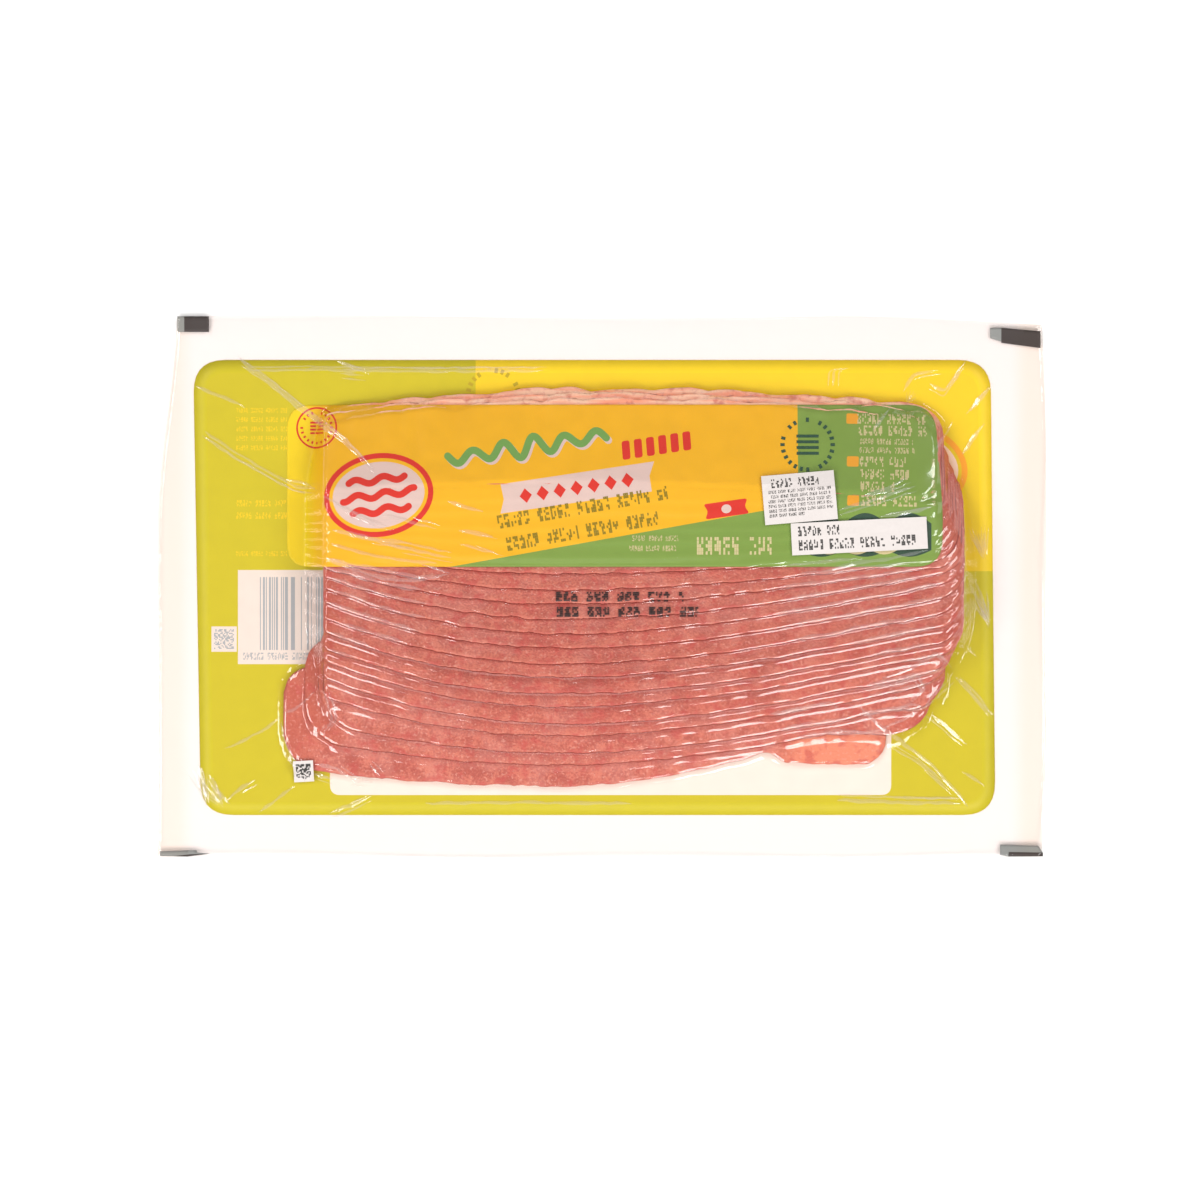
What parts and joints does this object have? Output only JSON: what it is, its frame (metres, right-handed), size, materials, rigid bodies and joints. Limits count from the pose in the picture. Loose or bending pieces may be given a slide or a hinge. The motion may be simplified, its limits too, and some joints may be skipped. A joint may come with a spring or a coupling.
{
  "type": "bacon pack",
  "caption": "Flat vacuum pack of overlapping bacon slices under clear printed film, with a wide welded margin and paper stickers.",
  "frame": {"origin": "middle of the pack's outline, on the surface that it lies on", "axes": "+X along the slices, towards the right end of the front; +Y up the front, from the lowest slice to the label; +Z out of the front"},
  "size_m": [0.3022, 0.1848, 0.017],
  "materials": {
    "wrapped_meat": "moist meat under glossy clear film",
    "sticker_paper": "matt coated paper",
    "sliced_meat": "moist",
    "clear_film": "glossy clear film",
    "printed_film": "glossy printed film",
    "print_ink": "ink on film or paper"
  },
  "bodies": {
    "root": {"sealed_pack": "wrapped_meat", "date_sticker": "sticker_paper", "storage_sticker": "sticker_paper", "code_sticker": "sticker_paper"}
  },
  "joints": []
}
